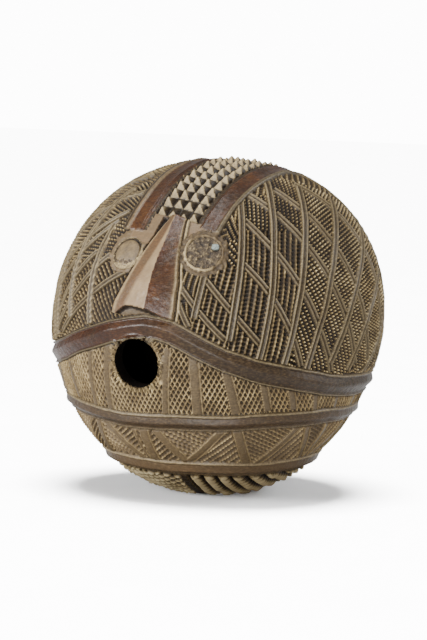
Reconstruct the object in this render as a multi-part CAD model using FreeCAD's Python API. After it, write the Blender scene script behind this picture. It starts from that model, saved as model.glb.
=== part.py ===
"""Carved rattle head: a hollow, nearly round shell with a mask-like face, loose seeds inside.

Frame: +Z up, the face looks towards -Y, and the origin is the centre of the flat foot that the
ball stands on. The relief is cut down from the ball's skin: bands, bars, crest and nose keep the
skin's height, and the ground between them lies RELIEF lower.
"""
import FreeCAD, Part
import math
import os
from FreeCAD import Rotation, Vector

# Driving dimensions, in millimetres and degrees.
HALF_WIDTH = 60.0
HALF_HEIGHT = 62.0
FOOT_RADIUS = 15.0
CAVITY_RADIUS = 54.0
RELIEF = 1.6
MOUTH_RADIUS = 8.75
MOUTH_PLACE = (-1.4, -9.7)

# The face leans: its middle plane tips towards +X at the top.
FACE_LEAN = 9.2
CREST_SPAN = (-10.4, 6.8)
BROW_SPANS = ((-20.2, -11.2), (7.6, 15.8))
BROW_STARTS = (36.0, 42.0)
CREST_START = 43.5
CREST_END = 194.0
STUD_COLUMNS = 4
STUD_HEIGHT = 2.2
STUD_GAP = 0.35

# Nose: half widths and heights above the ball's centre line, at its root and at its tip.
NOSE_ROOT = {"angle": 43.0, "half_width": 3.2, "ridge": 61.0}
NOSE_TIP = {"angle": 10.5, "half_width": 11.8, "ridge": 64.6}
NOSE_SEAT = 57.6

# Bands round the ball: middle latitude and width.
ROUND_BANDS = ((-29.3, 5.8), (-50.6, 7.2))
GABLE_WIDTH = 7.8
GABLE_APEX = (2.0, 3.0)
GABLE_BACK = (182.0, -17.5)
GABLE_SIDES = ((-50.0, -9.8), (50.0, -12.6))
BAND_SHOULDER = 0.55

# Eyes.
EYE_PLACES = {"left": (-10.6, 28.0), "right": (21.2, 29.5)}
SOCKET_RADIUS = 6.2
SOCKET_FLOOR = 57.2
EYE_DISC_RADIUS = 4.7
EYE_RIM_WIDTH = 0.8
RESIN_TOP = 59.2
RESIN_BED = 0.6
CHIP_SIZE = (2.2, 1.6, 1.2)
CHIP_OFFSET = (2.6, 2.0)

# Lattice bars that cross the front fields, each from one (longitude, latitude) to another.
BAR_WIDTH = 2.3
UPRIGHT_BARS = (
    ((31.5, 0), (37.5, 50)), ((42, -6), (50, 36)), ((50, 36), (59, 61)), ((51, -8), (60, 25)),
    ((60, 25), (80, 56)), ((60, -10), (73, 24)), ((73, 24), (100, 49)), ((70, -8), (90, 24)),
    ((90, 24), (118, 42)), ((80, -11), (105, 18)), ((-23, 3), (-24.5, 38)), ((-34, 3), (-38.5, 38)),
    ((-38.5, 38), (-33, 56)),
)
SLANT_BARS = (
    ((23, 20), (41.5, -1)), ((36.5, 25), (57.5, -9)), ((38, 42), (60, 14)), ((60, 14), (71, -11)),
    ((41, 55), (66, 29)), ((66, 29), (84, -9)), ((60, 56), (80, 29)), ((80, 29), (93, -8)),
    ((80, 58), (101, 22)), ((101, 22), (106, -8)), ((14, 17), (29, 1)), ((-39, -1), (-10, 20)),
    ((-48, 24), (-22, 43)), ((-51, 41), (-22, 54)), ((-44, 5), (-28, 26)),
)
# Lattice bars of the back fields: foot longitude, heading (0 is straight up) and arc length.
BACK_FOOT_LATITUDE = -14.0
BACK_BARS = (
    (91, 42, 62), (103, 45, 60), (116, 45, 54), (130, 40, 46), (144, 32, 36),
    (118, -3, 72), (131, -8, 76), (144, -12, 78), (157, -16, 70), (168, -22, 62),
    (-47, -12, 68), (-59, -20, 72), (-72, -28, 74), (-85, -35, 70), (-98, -40, 64), (-112, -44, 56),
    (-126, -44, 48), (-140, -38, 38), (-56, 42, 40), (-68, 36, 46), (-80, 28, 56), (-92, 20, 66),
    (-105, 12, 72), (-118, 8, 76), (-131, 8, 76), (-144, 12, 74), (-156, 18, 66),
)
# Upright strips between the gable band and the upper round band: (longitude, top latitude).
MOUTH_STRIPS = (
    (-62, -15), (-49, -14), (-35.5, -12), (-22.5, -8), (-14.5, -5), (9.5, -5), (20, -8), (33, -12),
    (45.5, -15), (56.5, -18), (68, -20), (80, -21), (92, -21),
)
MOUTH_STRIPS_BEHIND = range(104, 296, 12)
# Slanted strips between the two round bands.
LOWER_STRIPS = (
    ((-27.5, -33), (-35, -44)), ((-22.5, -33), (-11, -47)), ((-3, -33), (-3.5, -47)),
    ((2.5, -33), (12.5, -47)), ((30.5, -33), (16.5, -47)), ((36, -33), (43, -46)),
    ((63, -32), (53, -46)), ((68, -32), (75, -46)), ((97, -32), (85, -46)),
)
LOWER_STRIPS_BEHIND = range(105, 315, 30)
LOWER_STRIP_SPREAD = 11.0

# Seeds.
SEED_DIAMETER = 5.8
SEED_GAP = 0.3
INNER_RING = {"count": 6, "radius": 6.3, "turn": 0.0}
OUTER_RING = {"count": 12, "radius": 13.2, "turn": 15.0}

REACH = 90.0
FOOT_LEVEL = -HALF_HEIGHT * math.sqrt(1.0 - (FOOT_RADIUS / HALF_WIDTH) ** 2)
FACE_TURN = Rotation(Vector(0, 1, 0), FACE_LEAN)


def direction(longitude, latitude):
    """Unit vector: longitude 0 is -Y and grows towards +X, latitude grows towards +Z."""
    lon = math.radians(longitude)
    lat = math.radians(latitude)
    return Vector(math.sin(lon) * math.cos(lat), -math.cos(lon) * math.cos(lat), math.sin(lat))


def spheroid(half_width, half_height):
    """A ball of revolution about Z, centred on the origin."""
    ellipse = Part.Ellipse(Vector(0, 0, half_height), Vector(half_width, 0, 0), Vector(0, 0, 0))
    arc = Part.Arc(ellipse, 0.0, math.pi).toShape()
    axis = Part.makeLine(Vector(0, 0, -half_height), Vector(0, 0, half_height))
    return Part.Face(Part.Wire([arc, axis])).revolve(Vector(0, 0, 0), Vector(0, 0, 1), 360)


def radial_cylinder(place, radius, low, high):
    """A cylinder along the ray through a place on the ball, between two distances from the centre."""
    ray = direction(*place)
    return Part.makeCylinder(radius, high - low, ray * low, ray)


def polygon_ring(points, axis):
    """A closed profile of (radius, height) points, turned all round an axis through the centre."""
    corners = [Vector(radius, 0, height) for radius, height in points]
    face = Part.Face(Part.makePolygon(corners + corners[:1]))
    ring = face.revolve(Vector(0, 0, 0), Vector(0, 0, 1), 360)
    ring.Placement = FreeCAD.Placement(Vector(0, 0, 0), Rotation(Vector(0, 0, 1), axis))
    return ring


def roof_band(latitude, width, axis=Vector(0, 0, 1)):
    """A band with a low ridge along its middle, at a latitude about the given axis."""
    lat = math.radians(latitude)
    radius = ball_radius(latitude) if axis.z == 1.0 else HALF_WIDTH
    section = (
        (-width / 2, -RELIEF - 1.2), (-width / 2, -BAND_SHOULDER), (0.0, 0.0),
        (width / 2, -BAND_SHOULDER), (width / 2, -RELIEF - 1.2),
    )
    points = []
    for along, out in section:
        reach = radius + out
        points.append((
            reach * math.cos(lat) - along * math.sin(lat),
            reach * math.sin(lat) + along * math.cos(lat),
        ))
    return polygon_ring(points, axis)


def half_space(side):
    """A big box on the +X (side 1) or -X (side -1) side of the plane through the gable's apex."""
    box = Part.makeBox(REACH, 2 * REACH, 2 * REACH, Vector(0 if side > 0 else -REACH, -REACH, -REACH))
    box.rotate(Vector(0, 0, 0), Vector(0, 0, 1), GABLE_APEX[0])
    return box


def gable_half(side_place, side):
    """Half of the arched band: a flat circle through the apex, a point at the side and the back."""
    apex, flank, back = (direction(*place) for place in (GABLE_APEX, side_place, GABLE_BACK))
    normal = (flank - apex).cross(back - apex).normalize()
    if normal.z < 0:
        normal = normal * -1
    latitude = math.degrees(math.asin(normal.dot(apex)))
    return roof_band(latitude, GABLE_WIDTH, normal).common(half_space(side))


def face_slab(low, high):
    """A slab between two distances from the face's middle plane."""
    slab = Part.makeBox(high - low, 2 * REACH, 2 * REACH, Vector(low, -REACH, -REACH))
    slab.Placement = FreeCAD.Placement(Vector(0, 0, 0), FACE_TURN)
    return slab


def over_the_top(start, end):
    """A wedge about the face's cross axis, from one angle above the front to another."""
    steps = 8
    corners = [Vector(-REACH, 0, 0)]
    for step in range(steps + 1):
        angle = math.radians(start + (end - start) * step / steps)
        corners.append(Vector(-REACH, -REACH * math.cos(angle), REACH * math.sin(angle)))
    wedge = Part.Face(Part.makePolygon(corners + corners[:1])).extrude(Vector(2 * REACH, 0, 0))
    wedge.Placement = FreeCAD.Placement(Vector(0, 0, 0), FACE_TURN)
    return wedge


def ball_radius(latitude):
    """Distance from the centre to the ball's skin at a latitude."""
    lat = math.radians(latitude)
    return HALF_WIDTH * HALF_HEIGHT / math.hypot(HALF_HEIGHT * math.cos(lat), HALF_WIDTH * math.sin(lat))


def stud(middle, angle, side):
    """One pyramid of the crest, at a distance from the face's middle plane and an angle over the top."""
    skin = ball_radius(angle)
    tip = math.sqrt(skin ** 2 - middle ** 2)
    foot = tip - STUD_HEIGHT
    corners = ((-1, -1), (1, -1), (1, 1), (-1, 1))
    base = [Vector(middle + x * side / 2, y * side / 2, foot) for x, y in corners]
    apex = Vector(middle, 0, tip)
    faces = [Part.Face(Part.makePolygon(base + base[:1]))]
    for corner, following in zip(base, base[1:] + base[:1]):
        faces.append(Part.Face(Part.makePolygon([corner, following, apex, corner])))
    pyramid = Part.makeSolid(Part.makeShell(faces))
    pyramid.rotate(Vector(0, 0, 0), Vector(1, 0, 0), 90.0 - angle)
    pyramid.rotate(Vector(0, 0, 0), Vector(0, 1, 0), FACE_LEAN)
    return pyramid


def crest():
    """The rows of pyramid studs that run from the nose's root over the top and down the back."""
    pitch = (CREST_SPAN[1] - CREST_SPAN[0]) / STUD_COLUMNS
    side = pitch - STUD_GAP
    step = math.degrees(pitch / HALF_WIDTH)
    studs = []
    for row in range(int((CREST_END - CREST_START) / step)):
        for column in range(STUD_COLUMNS):
            middle = CREST_SPAN[0] + (column + 0.5) * pitch
            studs.append(stud(middle, CREST_START + (row + 0.5) * step, side))
    return studs


def brow(skin, span, start):
    """One polished band beside the crest, from above the eye over the top to the back."""
    return skin.common(face_slab(*span)).common(over_the_top(start, CREST_END))


def nose_section(level):
    """The nose's triangular section at one end: two corners on the ball and the ridge above them."""
    angle = math.radians(level["angle"])
    out = Vector(0, -math.cos(angle), math.sin(angle))
    side = Vector(level["half_width"], 0, 0)
    corners = [out * NOSE_SEAT - side, out * NOSE_SEAT + side, out * level["ridge"]]
    corners = [FACE_TURN.multVec(corner) for corner in corners]
    return Part.makePolygon(corners + corners[:1])


def nose():
    """A long three-sided nose that widens and rises towards its tip."""
    return Part.makeLoft([nose_section(NOSE_ROOT), nose_section(NOSE_TIP)], True, True)


def bar(start, end, width=BAR_WIDTH):
    """A straight bar on the ball: a thin pyramid from the centre out through its two ends."""
    first = direction(*start)
    last = direction(*end)
    across = first.cross(last).normalize()
    half_angle = first.getAngle(last) / 2
    far = (HALF_HEIGHT + 2.0) / math.cos(half_angle)
    side = across * (width / 2 * far / HALF_WIDTH)
    base = [first * far - side, last * far - side, last * far + side, first * far + side]
    faces = [Part.Face(Part.makePolygon(base + base[:1]))]
    for corner, following in zip(base, base[1:] + base[:1]):
        faces.append(Part.Face(Part.makePolygon([Vector(0, 0, 0), corner, following, Vector(0, 0, 0)])))
    return Part.makeSolid(Part.makeShell(faces))


def onward(longitude, latitude, heading, arc):
    """The place reached from a place on the ball by a great circle of some degrees on a heading."""
    lon, lat, turn, far = (math.radians(value) for value in (longitude, latitude, heading, arc))
    end = math.asin(math.sin(lat) * math.cos(far) + math.cos(lat) * math.sin(far) * math.cos(turn))
    east = math.sin(turn) * math.sin(far) * math.cos(lat)
    north = math.cos(far) - math.sin(lat) * math.sin(end)
    return longitude + math.degrees(math.atan2(east, north)), math.degrees(end)


def bar_ends():
    """The two ends of every bar and strip of the carved fields."""
    ends = list(UPRIGHT_BARS) + list(SLANT_BARS) + list(LOWER_STRIPS)
    for longitude, heading, arc in BACK_BARS:
        foot = (longitude, BACK_FOOT_LATITUDE)
        ends.append((foot, onward(*foot, heading, arc)))
    strips = list(MOUTH_STRIPS) + [(longitude, -21.0) for longitude in MOUTH_STRIPS_BEHIND]
    ends += [((longitude, top), (longitude, -28.0)) for longitude, top in strips]
    for longitude in LOWER_STRIPS_BEHIND:
        for side in (-LOWER_STRIP_SPREAD, LOWER_STRIP_SPREAD):
            ends.append(((longitude, -32.0), (longitude + side, -47.0)))
    return ends


def lattice(skin):
    """All the bars and strips of the carved fields."""
    return [skin.common(bar(*ends)) for ends in bar_ends()]


def carved_shell():
    """The whole shell: ground, relief, hollow, mouth, eye sockets and foot."""
    skin = spheroid(HALF_WIDTH, HALF_HEIGHT)
    relief = [roof_band(*band) for band in ROUND_BANDS]
    relief += [gable_half(place, side) for place, side in zip(GABLE_SIDES, (-1, 1))]
    relief += [brow(skin, span, start) for span, start in zip(BROW_SPANS, BROW_STARTS)]
    relief += crest() + lattice(skin)
    relief.append(nose())
    rim_radius = SOCKET_RADIUS + EYE_RIM_WIDTH
    relief.append(radial_cylinder(EYE_PLACES["right"], rim_radius, CAVITY_RADIUS, RESIN_TOP))
    shell = spheroid(HALF_WIDTH - RELIEF, HALF_HEIGHT - RELIEF).fuse(relief)
    cuts = [Part.makeSphere(CAVITY_RADIUS)]
    cuts.append(radial_cylinder(MOUTH_PLACE, MOUTH_RADIUS, CAVITY_RADIUS / 2, REACH))
    cuts += [radial_cylinder(place, SOCKET_RADIUS, SOCKET_FLOOR, REACH) for place in EYE_PLACES.values()]
    cuts.append(Part.makeBox(REACH, REACH, REACH, Vector(-REACH / 2, -REACH / 2, FOOT_LEVEL - REACH)))
    return shell.cut(cuts)


def left_eye():
    """A resin cup with a smooth disc bedded in it."""
    place = EYE_PLACES["left"]
    bed = SOCKET_FLOOR + RESIN_BED
    disc = radial_cylinder(place, EYE_DISC_RADIUS, bed, RESIN_TOP)
    cup = radial_cylinder(place, SOCKET_RADIUS, SOCKET_FLOOR, RESIN_TOP).cut(disc)
    return {"eye_resin_left": cup, "eye_disc_left": disc}


def right_eye():
    """A resin plug with a small chip of inlay stuck in it."""
    place = EYE_PLACES["right"]
    ray = direction(*place)
    turn = Rotation(Vector(0, 0, 1), ray)
    length, width, depth = CHIP_SIZE
    chip = Part.makeBox(length, width, depth)
    across, up = CHIP_OFFSET
    corner = ray * (RESIN_TOP - depth) + direction(place[0] + 90.0, 0.0) * across + Vector(0, 0, up)
    chip.Placement = FreeCAD.Placement(corner, turn)
    plug = radial_cylinder(place, SOCKET_RADIUS, SOCKET_FLOOR, RESIN_TOP).cut(chip)
    return {"eye_resin_right": plug, "eye_chip_right": chip}


def seeds():
    """One seed at the bottom of the hollow and two rings round it."""
    path_radius = CAVITY_RADIUS - SEED_DIAMETER / 2 - SEED_GAP
    spots = [(0.0, 0.0)]
    for ring in (INNER_RING, OUTER_RING):
        for index in range(ring["count"]):
            turn = math.radians(ring["turn"] + 360.0 * index / ring["count"])
            spots.append((ring["radius"] * math.sin(turn), -ring["radius"] * math.cos(turn)))
    pieces = {}
    for number, (x, y) in enumerate(spots, start=1):
        z = -math.sqrt(path_radius ** 2 - x ** 2 - y ** 2)
        pieces["seed_%02d" % number] = Part.makeSphere(SEED_DIAMETER / 2, Vector(x, y, z))
    return pieces


def main():
    pieces = {"carved_shell": carved_shell()}
    pieces.update(left_eye())
    pieces.update(right_eye())
    pieces.update(seeds())
    os.makedirs("parts", exist_ok=True)
    lift = Vector(0, 0, -FOOT_LEVEL)
    for name, shape in pieces.items():
        solid = shape.translated(lift)
        solid.exportStep("parts/%s.step" % name)
        box = solid.BoundBox
        print(name, solid.isValid(), len(solid.Solids), len(solid.Faces), round(solid.Volume, 1),
              "Z %.2f to %.2f" % (box.ZMin, box.ZMax), "X %.2f to %.2f" % (box.XMin, box.XMax),
              "Y %.2f to %.2f" % (box.YMin, box.YMax))


main()
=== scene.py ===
"""Looks of a carved rattle head: a hollow ball of hard shell with a mask-like face.

The shell's skin is a height field over a slightly tall ball. The whole relief is cut down from the
skin by hand tools: bands, bars, crest and nose keep the skin's height, and the ground between them
is filled with ridges, beads and nets. Heights, distances and widths are in millimetres, angles in
degrees, and meshes are scaled to metres when they are made. Longitude 0 is the front (-Y) and grows
towards +X, and latitude grows towards +Z.
"""
import math
from itertools import product

import bpy
import numpy as np
from mathutils import Matrix, Vector


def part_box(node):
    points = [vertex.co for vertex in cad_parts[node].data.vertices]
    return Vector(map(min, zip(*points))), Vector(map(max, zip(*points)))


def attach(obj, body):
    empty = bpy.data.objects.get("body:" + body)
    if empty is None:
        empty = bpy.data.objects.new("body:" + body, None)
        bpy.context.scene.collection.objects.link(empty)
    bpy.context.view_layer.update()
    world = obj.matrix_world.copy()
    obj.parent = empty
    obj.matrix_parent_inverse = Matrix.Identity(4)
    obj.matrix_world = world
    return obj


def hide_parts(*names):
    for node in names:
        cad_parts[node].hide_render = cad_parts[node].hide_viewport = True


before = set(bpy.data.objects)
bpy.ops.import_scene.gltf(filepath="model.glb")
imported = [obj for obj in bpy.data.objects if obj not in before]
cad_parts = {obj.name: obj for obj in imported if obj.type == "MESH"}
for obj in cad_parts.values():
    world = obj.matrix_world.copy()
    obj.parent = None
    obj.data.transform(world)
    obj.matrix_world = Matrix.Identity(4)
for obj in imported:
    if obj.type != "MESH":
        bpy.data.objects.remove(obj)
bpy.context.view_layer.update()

# The ball.
HALF_WIDTH = 60.0
HALF_HEIGHT = 62.0
FOOT_RADIUS = 15.0
CAVITY = 54.0
CENTRE_HEIGHT = HALF_HEIGHT * math.sqrt(1.0 - (FOOT_RADIUS / HALF_WIDTH) ** 2)
GROUND = -1.9
HAND_DRIFT = 0.0055
MM = 0.001

# Slow swellings of the hand-made ball: (longitude, latitude), height and spread in degrees.
LUMPS = (((117, 40), 3.2, 26), ((0, 90), -1.6, 24), ((117, -35), -1.8, 22), ((-100, 30), 0.8, 30),
         ((200, 20), 1.2, 34), ((-140, -30), -1.0, 28))

# Middle lines of the bands round the ball: (longitude, latitude).
GABLE = ((-180, -17.5), (-130, -17), (-90, -14.5), (-50, -9.8), (-39, -7.6), (-30, -5), (-20, -2.2),
         (-12, 0.3), (-3, 2.3), (2, 3), (7, 2.6), (11, 1.7), (14.8, 0), (22, -3.5), (30, -7.2),
         (40, -10.4), (50, -12.5), (60, -14.6), (70, -16.2), (80, -17), (90, -17.4), (130, -17.5))
UPPER_ROUND = ((-180, -29), (-100, -28), (-48, -27.6), (-29, -29.2), (-20, -30.4), (-10, -31.2),
               (2, -31.0), (19, -30.8), (30, -30.5), (50, -29.3), (80, -28.6), (130, -28.5))
LOWER_ROUND = ((-180, -51), (-60, -51), (-30, -52), (0, -53), (50, -53), (80, -52), (140, -51))
# Cross sections: (distance from the middle line, height).
GABLE_SECTION = ((-4.7, -1.7), (-4.2, -1.5), (-3.9, -0.3), (-3.4, -0.15), (-3.1, -0.75), (-2.7, -0.55),
                 (0.1, 0.65), (0.7, 0.65), (2.7, -0.45), (3.1, -0.75), (3.4, -0.1), (3.9, -0.3),
                 (4.2, -1.5), (4.7, -1.7))
UPPER_SECTION = ((-3.9, -1.7), (-3.3, -1.5), (-2.9, -0.45), (-2.5, -0.2), (-2.2, -0.65), (-1.8, -0.4),
                 (0.2, 0.5), (1.8, -0.35), (2.2, -0.65), (2.5, -0.2), (2.9, -0.45), (3.3, -1.5),
                 (3.9, -1.7))
LOWER_SECTION = ((-4.6, -1.9), (-4.0, -1.7), (-3.6, -0.5), (-3.1, -0.2), (-2.8, -0.65), (-2.3, -0.35),
                 (0.0, 0.8), (2.3, -0.3), (2.8, -0.6), (3.1, -0.15), (3.6, -0.5), (4.0, -1.5),
                 (4.6, -1.7))

# The face leans to +X at its top. Distances across are from its middle plane.
FACE_LEAN = 9.2
CREST_SPAN = (-10.4, 6.8)
CREST_START = 43.5
CREST_ROW = 4.5
STUD_COLUMNS = 4
STUD_HEIGHT = 2.8
STUD_VALLEY = -2.3
STUD_HALF = 0.47
BROKEN_STUDS = (1, 2)
LEFT_BROW = ((-21.0, -1.7), (-20.4, -1.0), (-20.0, -0.15), (-18.2, 0.1), (-17.6, -0.1), (-17.2, -0.55),
             (-15.2, -0.75), (-13.0, -0.45), (-12.6, -0.25), (-12.3, -0.9), (-10.9, -1.2), (-10.4, -1.5))
RIGHT_BROW = ((6.8, -1.5), (7.3, -1.1), (8.9, -0.9), (9.2, -0.2), (9.6, -0.3), (12.0, -0.7), (14.3, -0.4),
              (14.8, 0.05), (15.5, -0.1), (15.9, -0.8), (16.5, -1.7))
BROW_STARTS = (36.0, 42.0)
BROW_POLISH = ((-18.4, -11.6), (8.4, 14.2))

# The nose by angle above the front: its edges and arris in degrees off the middle plane, and heights.
NOSE_LEFT = ((5.0, -11.6), (9.0, -11.4), (14.5, -10.0), (32.0, -6.0), (42.0, -3.6), (44.0, -3.3))
NOSE_RIGHT = ((5.0, 11.2), (11.0, 10.9), (20.0, 9.5), (32.0, 5.5), (42.7, 2.3), (44.0, 2.2))
NOSE_ARRIS = ((5.0, 2.2), (11.8, 1.8), (22.7, 0.5), (33.6, 0.0), (42.7, -1.4), (44.0, -1.5))
NOSE_HEIGHT = ((9.0, 4.2), (20.0, 3.1), (30.0, 1.9), (43.0, 0.6))
NOSE_FLANK = ((9.0, 0.7), (20.0, 0.3), (43.0, -0.7))
NOSE_TIP = 9.4
TIP_LINE = ((-10.0, 4.8), (-8.4, 6.8), (-6.8, 8.3), (-4.5, 9.0), (0.0, 9.1), (4.0, 8.8), (8.0, 7.8),
            (11.0, 6.4))
NOSE_FOOT = 5.2
UNDERCUT_WIDTHS = ((35.0, 1.5), (43.0, 3.1))
UNDERCUT = -3.2
LEDGE_REACH = (-15.5, 10.5)
LEDGE_STARTS = (31.5, 31.0)
LEDGE_UNDER_BROW = -9.9

# Mouth hole and eyes.
MOUTH = (-1.4, -9.7)
MOUTH_RADIUS = 8.75
LEFT_EYE = (-10.6, 28.0)
RIGHT_EYE = (21.2, 29.5)
SOCKET_RADIUS = 6.2
SOCKET_FLOOR = 57.2
DISC_RADIUS = 5.0
RING_HOLE = 4.3
DISC_SEAT = SOCKET_FLOOR + 0.6
RING_TOP, DISC_TOP, PLUG_TOP = 58.7, 58.9, 59.3
PLUG_ROUGHNESS = 0.34

# Bars of the upper field, each through three places, from its foot upwards.
FRONT_UPRIGHTS = (
    ((19.5, 7), (21, 14), (22.5, 22)), ((31.5, 0), (34.5, 20), (37.5, 50)), ((42, -6), (47.5, 24), (59, 61)),
    ((51, -8), (60, 25), (80, 56)), ((60, -10), (73, 24), (100, 49)), ((70, -8), (85, 18), (110, 37)),
    ((80, -11), (90, 6), (110, 22)), ((-21.8, 2.5), (-24, 18), (-24.3, 37.5)),
    ((-33.9, 4), (-38.5, 28), (-34.3, 55)), ((-45, -3), (-48.5, 12), (-52, 30)),
)
FRONT_SLANTS = (
    ((29.8, 0.4), (21.5, 8.5), (14.4, 16.7)), ((41.5, -1), (30, 12), (22, 21)),
    ((57.5, -9), (47, 13), (36, 26)), ((71, -11), (53, 25), (38, 42)), ((84, -9), (64, 32), (41, 55)),
    ((93, -8), (77, 33), (60, 56)), ((104, -6), (96, 35), (80, 58)), ((17.5, 4), (13.6, 12), (11.5, 18)),
    ((-39.3, -1.2), (-25, 11), (-9.3, 21)), ((-43.5, 5), (-36.8, 16.7), (-27, 27)),
    ((-47.7, 24), (-37, 33.5), (-21, 44)), ((-51, 41), (-38, 48), (-21, 54)),
)
# Bars of the back: foot longitude, heading (0 is straight up) and length in degrees.
BACK_FOOT = -14.0
BACK_REACH = 22.0
BACK_UPRIGHTS = (
    (91, 42, 62), (103, 45, 60), (116, 45, 54), (130, 40, 46), (144, 32, 36),
    (-47, -12, 68), (-59, -20, 72), (-72, -28, 74), (-85, -35, 70), (-98, -40, 64), (-112, -44, 56),
    (-126, -44, 48), (-140, -38, 38),
)
BACK_SLANTS = (
    (118, -3, 72), (131, -8, 76), (144, -12, 78), (157, -16, 70), (168, -22, 62), (-56, 42, 40),
    (-68, 36, 46), (-80, 28, 56), (-92, 20, 66), (-105, 12, 72), (-118, 8, 76), (-131, 8, 76),
    (-144, 12, 74), (-156, 18, 66),
)
UPRIGHT_SECTION = ((-1.55, -1.9), (-1.35, -1.6), (-1.15, -0.3), (-0.9, 0.25), (-0.55, -0.45), (0.0, -0.65),
                   (0.5, -0.5), (0.85, 0.2), (1.1, -0.3), (1.3, -1.6), (1.55, -1.9))
SLANT_SECTION = ((-1.5, -1.9), (-1.25, -1.6), (-1.05, -0.4), (-0.8, -0.1), (-0.4, -0.5), (0.3, -0.8),
                 (0.7, 0.15), (0.95, -0.2), (1.2, -1.6), (1.5, -1.9))
# Strips of the mouth zone and of the zone below it: foot, top and half width.
MOUTH_STRIPS = (
    ((-34.8, -24), (-36, -12.5), 0.9), ((-23.9, -25.8), (-21.4, -6.7), 0.8), ((-16, -27.5), (-13, -3.3), 1.1),
    ((8.6, -27.9), (10.3, -4.2), 0.9), ((21, -27), (19.4, -6.7), 1.5), ((35, -26), (30, -9.5), 1.5),
    ((47, -25), (44, -15), 1.1), ((57.5, -24.5), (55, -18), 1.1), ((-49, -26), (-49, -13), 1.0),
    ((-62, -26), (-62, -15), 1.0), ((68, -26), (66, -19), 1.0), ((79, -26), (78, -20), 1.0),
    ((92, -26), (92, -20), 1.0),
)
MOUTH_STRIPS_BEHIND = range(104, 296, 12)
LOWER_STRIPS = (
    ((-36, -48), (-27.2, -32), 1.1), ((-9.5, -49), (-22.9, -32.5), 1.1), ((-6.6, -49), (-8, -33), 0.5),
    ((-3.7, -49), (-3, -33), 1.7), ((14.2, -49), (2.1, -33), 1.2), ((13.8, -49), (31.2, -32), 1.2),
    ((44.6, -49), (35.8, -32), 1.4), ((49.3, -49), (63.4, -31), 1.1), ((76.8, -48.5), (67.7, -32), 1.0),
    ((80, -48), (80, -31), 0.8), ((83.3, -48), (97, -32), 1.1),
)
LOWER_STRIPS_BEHIND = range(105, 315, 30)
LOWER_STRIP_SPREAD = 11.0
# Heights from a strip's edge outwards: with a thin line beside it, and without.
STRIP_TOP = -0.45
LINED_FALL = ((0, STRIP_TOP), (0.3, -1.1), (0.7, -0.25), (1.1, -1.2), (1.4, -1.7))
PLAIN_FALL = ((0, STRIP_TOP), (0.2, -0.3), (0.5, -1.7))

# Fills of the cells: how far each stands over the ground, and the pitches of its rows.
RIDGE_RISE = 1.45
BEAD_RISE = 1.6
STUD_RISE = 1.9
RIDGE_PITCHES = (2.15, 1.55)
BEAD_PITCH = 1.5
STUD_PITCHES = (1.8, 1.3)
LADDER_PITCHES = (1.75, 1.9)
NET_PITCH = 1.55
HATCH_PITCHES = (1.9, 1.6)
HATCH_TURNS = (32.0, -38.0)
FRONT_FIELD = (-58.0, 112.0)
ZONE_DUST = (0.14, 0.22)

# Underside: four sectors from these longitudes, each with a flat strip along its start.
SECTORS = (6.0, 96.0, 186.0, 276.0)
RIB_PITCHES = (4.6, 4.6, 4.4, 2.9)
RIB_TURNS = (0.0, 0.0, 12.0, 50.0)
SECTOR_STRIP = 2.6
ROPE_PITCH = 2.3

# Layers of wear and tone. The tone layer also holds painted light and shade, and the edge layer holds the
# crest studs' painted lit facets.
WEAR_AND_PAINTED_LIGHT = ("flat", "polish", "edge", "tone")


def unit(longitude, latitude):
    """Unit vector of a place on the ball."""
    lon = math.radians(longitude)
    lat = math.radians(latitude)
    return np.array((math.sin(lon) * math.cos(lat), -math.cos(lon) * math.cos(lat), math.sin(lat)))


def onward(longitude, latitude, heading, arc):
    """The place reached by a great circle of some degrees on a heading."""
    lat, turn, far = (math.radians(value) for value in (latitude, heading, arc))
    end = math.asin(math.sin(lat) * math.cos(far) + math.cos(lat) * math.sin(far) * math.cos(turn))
    east = math.sin(turn) * math.sin(far) * math.cos(lat)
    north = math.cos(far) - math.sin(lat) * math.sin(end)
    return longitude + math.degrees(math.atan2(east, north)), math.degrees(end)


def section(distance, table):
    """Height at a distance, through a table of (distance, height) pairs."""
    across, heights = zip(*table)
    return np.interp(distance, across, heights)


def round_the_ball(longitude, table):
    """Latitude at each longitude, through a table that closes on itself."""
    longitudes, latitudes = zip(*table)
    return np.interp(longitude, longitudes, latitudes, period=360.0)


def lumpy(points, size, seed):
    """Smooth seeded noise, from -1 to 1, with lumps of a size in millimetres."""
    count = 48
    grid = np.random.default_rng(seed).uniform(-1.0, 1.0, (count, count, count))
    place = points / size
    cell = np.floor(place).astype(int)
    share = place - cell
    share = share * share * (3.0 - 2.0 * share)
    total = np.zeros(len(points))
    for corner in product((0, 1), repeat=3):
        weight = np.ones(len(points))
        for axis in range(3):
            weight *= share[:, axis] if corner[axis] else 1.0 - share[:, axis]
        x, y, z = ((cell + corner) % count).T
        total += weight * grid[x, y, z]
    return total


def hashed(first, second, seed):
    """A fixed random number from 0 to 1 for each pair of whole numbers."""
    table = np.random.default_rng(seed).uniform(0.0, 1.0, (97, 89))
    return table[first % 97, second % 89]


def wave(distance, pitch):
    """1 on lines a pitch apart and 0 halfway between them."""
    return 0.5 + 0.5 * np.cos(2.0 * math.pi * distance / pitch)


def face_frame(way):
    """Distance across the face, and the angles off its middle plane and up from the front."""
    lean = math.radians(FACE_LEAN)
    side = way @ np.array((math.cos(lean), 0.0, -math.sin(lean)))
    rise = way @ np.array((math.sin(lean), 0.0, math.cos(lean)))
    angle = np.degrees(np.arctan2(rise, -way[:, 1]))
    angle = np.where(angle < -90, angle + 360, angle)
    return side * HALF_WIDTH, np.degrees(np.arcsin(np.clip(side, -1, 1))), angle


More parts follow.
